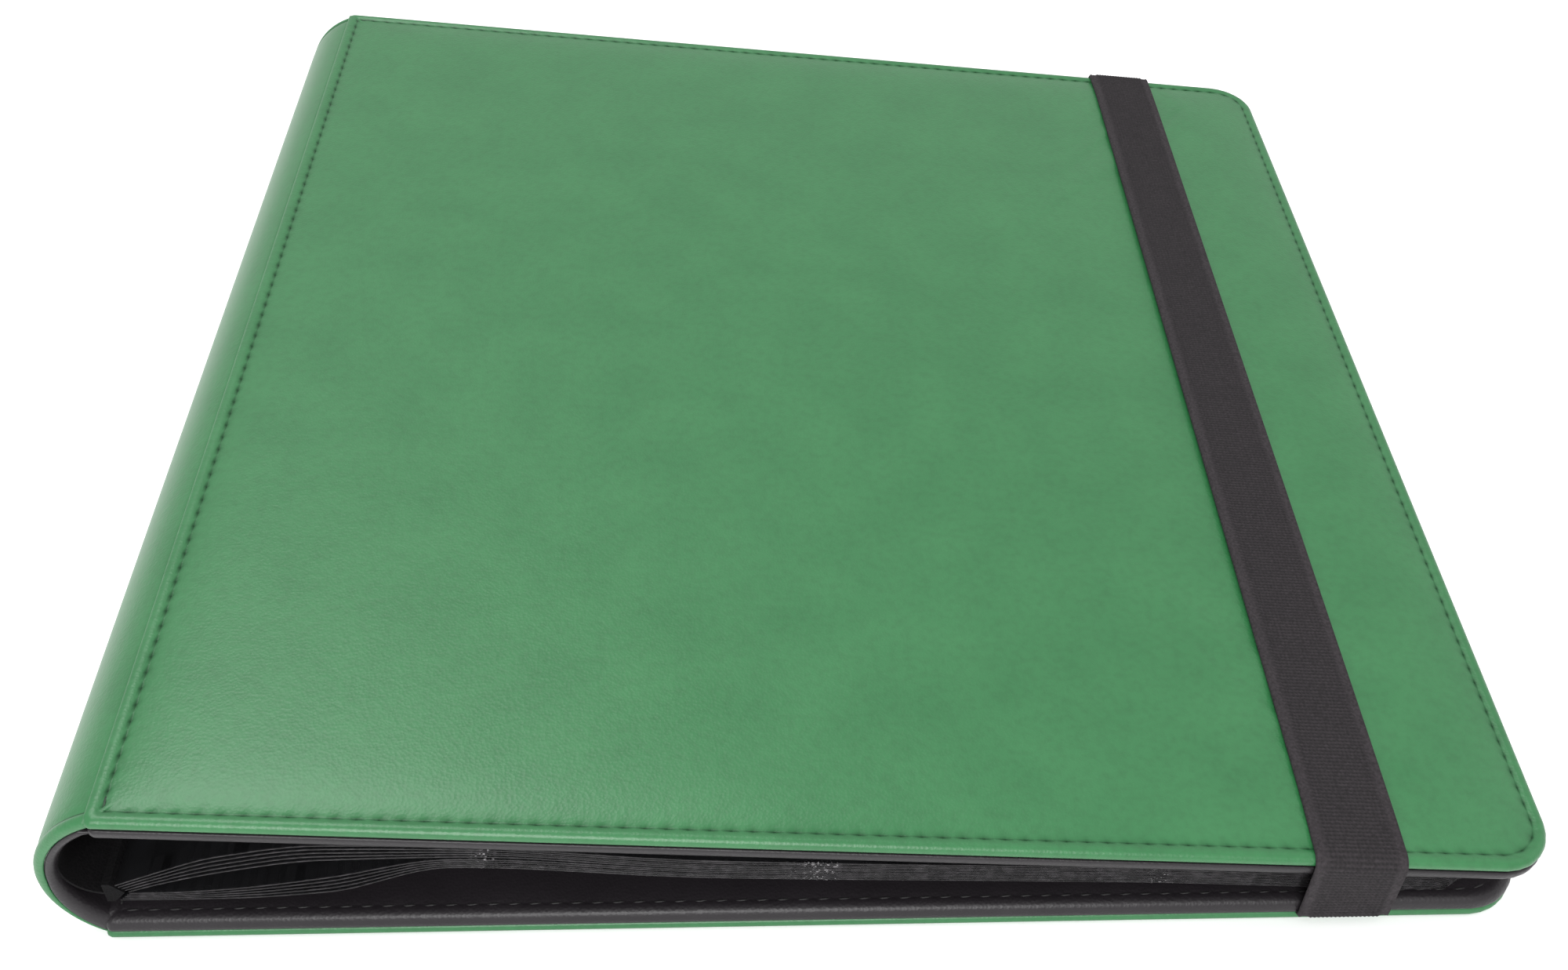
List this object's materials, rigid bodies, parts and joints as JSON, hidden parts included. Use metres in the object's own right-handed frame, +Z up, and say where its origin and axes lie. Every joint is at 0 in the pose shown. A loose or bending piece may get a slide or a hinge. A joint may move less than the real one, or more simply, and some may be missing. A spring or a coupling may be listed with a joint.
{
  "type": "collector album",
  "caption": "Padded leatherette album with a round spine, sewn-in side-loading pocket leaves and an elastic strap closure.",
  "frame": {"origin": "centre of the closed album's footprint, on the surface that it lies on", "axes": "+X from the spine to the fore edge, +Y along the spine, +Z up from the back cover to the front cover"},
  "size_m": [0.311, 0.318, 0.0401],
  "materials": {
    "green_leatherette": "satin mottled green leatherette with fine grain",
    "green_thread": "matte dark green twisted thread",
    "black_lining": "satin black leatherette",
    "black_cloth": "matte black binding cloth",
    "black_elastic": "matte ribbed woven elastic",
    "leaf_sheet": "matte black polypropylene",
    "pocket_film": "clear glossy film",
    "foam": "matte open-cell foam",
    "greyboard": "matte grey binder's board"
  },
  "bodies": {
    "back_cover": {"back_cover_skin": "green_leatherette", "back_cover_foam_pad": "foam", "back_cover_board": "greyboard", "back_cover_lining_pad": "foam", "back_cover_lining": "black_lining", "back_cover_stitching": "green_thread"},
    "spine": {"spine_skin": "green_leatherette", "spine_pad": "foam", "spine_lining": "black_lining", "binding_core": "black_cloth", "binding_flap": "black_cloth"},
    "front_cover": {"front_cover_skin": "green_leatherette", "front_cover_foam_pad": "foam", "front_cover_board": "greyboard", "front_cover_lining_pad": "foam", "front_cover_lining": "black_lining", "front_cover_stitching": "green_thread"},
    "leaf_01": {"leaf_01_sheet": "leaf_sheet", "leaf_01_front_pockets": "pocket_film", "leaf_01_back_pockets": "pocket_film"},
    "leaf_02": {"leaf_02_sheet": "leaf_sheet", "leaf_02_front_pockets": "pocket_film", "leaf_02_back_pockets": "pocket_film"},
    "leaf_03": {"leaf_03_sheet": "leaf_sheet", "leaf_03_front_pockets": "pocket_film", "leaf_03_back_pockets": "pocket_film"},
    "leaf_04": {"leaf_04_sheet": "leaf_sheet", "leaf_04_front_pockets": "pocket_film", "leaf_04_back_pockets": "pocket_film"},
    "leaf_05": {"leaf_05_sheet": "leaf_sheet", "leaf_05_front_pockets": "pocket_film", "leaf_05_back_pockets": "pocket_film"},
    "leaf_06": {"leaf_06_sheet": "leaf_sheet", "leaf_06_front_pockets": "pocket_film", "leaf_06_back_pockets": "pocket_film"},
    "leaf_07": {"leaf_07_sheet": "leaf_sheet", "leaf_07_front_pockets": "pocket_film", "leaf_07_back_pockets": "pocket_film"},
    "leaf_08": {"leaf_08_sheet": "leaf_sheet", "leaf_08_front_pockets": "pocket_film", "leaf_08_back_pockets": "pocket_film"},
    "leaf_09": {"leaf_09_sheet": "leaf_sheet", "leaf_09_front_pockets": "pocket_film", "leaf_09_back_pockets": "pocket_film"},
    "leaf_10": {"leaf_10_sheet": "leaf_sheet", "leaf_10_front_pockets": "pocket_film", "leaf_10_back_pockets": "pocket_film"},
    "strap": {"elastic_strap": "black_elastic"}
  },
  "joints": [
    {"name": "spine_fold", "type": "hinge", "parent": "back_cover", "child": "spine", "pos_m": [-0.14883, 0, 0.00687], "axis": [0, -1, 0], "range_deg": [0, 90], "deforming": ["spine_skin"]},
    {"name": "front_cover_fold", "type": "hinge", "parent": "spine", "child": "front_cover", "pos_m": [-0.14801, 0, 0.03302], "axis": [0, -1, 0], "range_deg": [0, 94.3], "deforming": ["spine_lining"]},
    {"name": "leaf_01_turn", "type": "hinge", "parent": "spine", "child": "leaf_01", "pos_m": [-0.14208, 0, 0.01568], "axis": [0, -1, 0], "range_deg": [0, 80.1], "deforming": ["leaf_01_sheet", "leaf_01_front_pockets", "leaf_01_back_pockets"]},
    {"name": "leaf_02_turn", "type": "hinge", "parent": "spine", "child": "leaf_02", "pos_m": [-0.14153, 0, 0.01512], "axis": [0, -1, 0], "range_deg": [0, 79.3], "deforming": ["leaf_02_sheet", "leaf_02_front_pockets", "leaf_02_back_pockets"]},
    {"name": "leaf_03_turn", "type": "hinge", "parent": "spine", "child": "leaf_03", "pos_m": [-0.14098, 0, 0.01457], "axis": [0, -1, 0], "range_deg": [0, 78.5], "deforming": ["leaf_03_sheet", "leaf_03_front_pockets", "leaf_03_back_pockets"]},
    {"name": "leaf_04_turn", "type": "hinge", "parent": "spine", "child": "leaf_04", "pos_m": [-0.14043, 0, 0.01402], "axis": [0, -1, 0], "range_deg": [0, 77.7], "deforming": ["leaf_04_sheet", "leaf_04_front_pockets", "leaf_04_back_pockets"]},
    {"name": "leaf_05_turn", "type": "hinge", "parent": "spine", "child": "leaf_05", "pos_m": [-0.13988, 0, 0.01348], "axis": [0, -1, 0], "range_deg": [0, 76.9], "deforming": ["leaf_05_sheet", "leaf_05_front_pockets", "leaf_05_back_pockets"]},
    {"name": "leaf_06_turn", "type": "hinge", "parent": "spine", "child": "leaf_06", "pos_m": [-0.13988, 0, 0.01293], "axis": [0, -1, 0], "range_deg": [-89.6, 0], "deforming": ["leaf_06_sheet", "leaf_06_front_pockets", "leaf_06_back_pockets"]},
    {"name": "leaf_07_turn", "type": "hinge", "parent": "spine", "child": "leaf_07", "pos_m": [-0.14043, 0, 0.01238], "axis": [0, -1, 0], "range_deg": [-89.85, 0], "deforming": ["leaf_07_sheet", "leaf_07_front_pockets", "leaf_07_back_pockets"]},
    {"name": "leaf_08_turn", "type": "hinge", "parent": "spine", "child": "leaf_08", "pos_m": [-0.14098, 0, 0.01183], "axis": [0, -1, 0], "range_deg": [-90.1, 0], "deforming": ["leaf_08_sheet", "leaf_08_front_pockets", "leaf_08_back_pockets"]},
    {"name": "leaf_09_turn", "type": "hinge", "parent": "spine", "child": "leaf_09", "pos_m": [-0.14153, 0, 0.01128], "axis": [0, -1, 0], "range_deg": [-90.35, 0], "deforming": ["leaf_09_sheet", "leaf_09_front_pockets", "leaf_09_back_pockets"]},
    {"name": "leaf_10_turn", "type": "hinge", "parent": "spine", "child": "leaf_10", "pos_m": [-0.14208, 0, 0.01073], "axis": [0, -1, 0], "range_deg": [-90.6, 0], "deforming": ["leaf_10_sheet", "leaf_10_front_pockets", "leaf_10_back_pockets"]},
    {"name": "strap_pull", "type": "slide", "parent": "back_cover", "child": "strap", "axis": [1, 0, 0], "range_m": [0, 0.064], "deforming": ["elastic_strap"]}
  ],
  "couplings": [
    {"joint": "leaf_01_turn", "follows": "front_cover_fold", "ratio": 0.84836},
    {"joint": "leaf_02_turn", "follows": "front_cover_fold", "ratio": 0.83987},
    {"joint": "leaf_03_turn", "follows": "front_cover_fold", "ratio": 0.83139},
    {"joint": "leaf_04_turn", "follows": "front_cover_fold", "ratio": 0.82291},
    {"joint": "leaf_05_turn", "follows": "front_cover_fold", "ratio": 0.81442},
    {"joint": "leaf_06_turn", "follows": "spine_fold", "ratio": -0.99444},
    {"joint": "leaf_07_turn", "follows": "spine_fold", "ratio": -0.99722},
    {"joint": "leaf_08_turn", "follows": "spine_fold", "ratio": -1},
    {"joint": "leaf_09_turn", "follows": "spine_fold", "ratio": -1.0028},
    {"joint": "leaf_10_turn", "follows": "spine_fold", "ratio": -1.0056},
    {"joint": "strap_pull", "follows": "front_cover_fold", "m_per_rad": 0.038764}
  ]
}
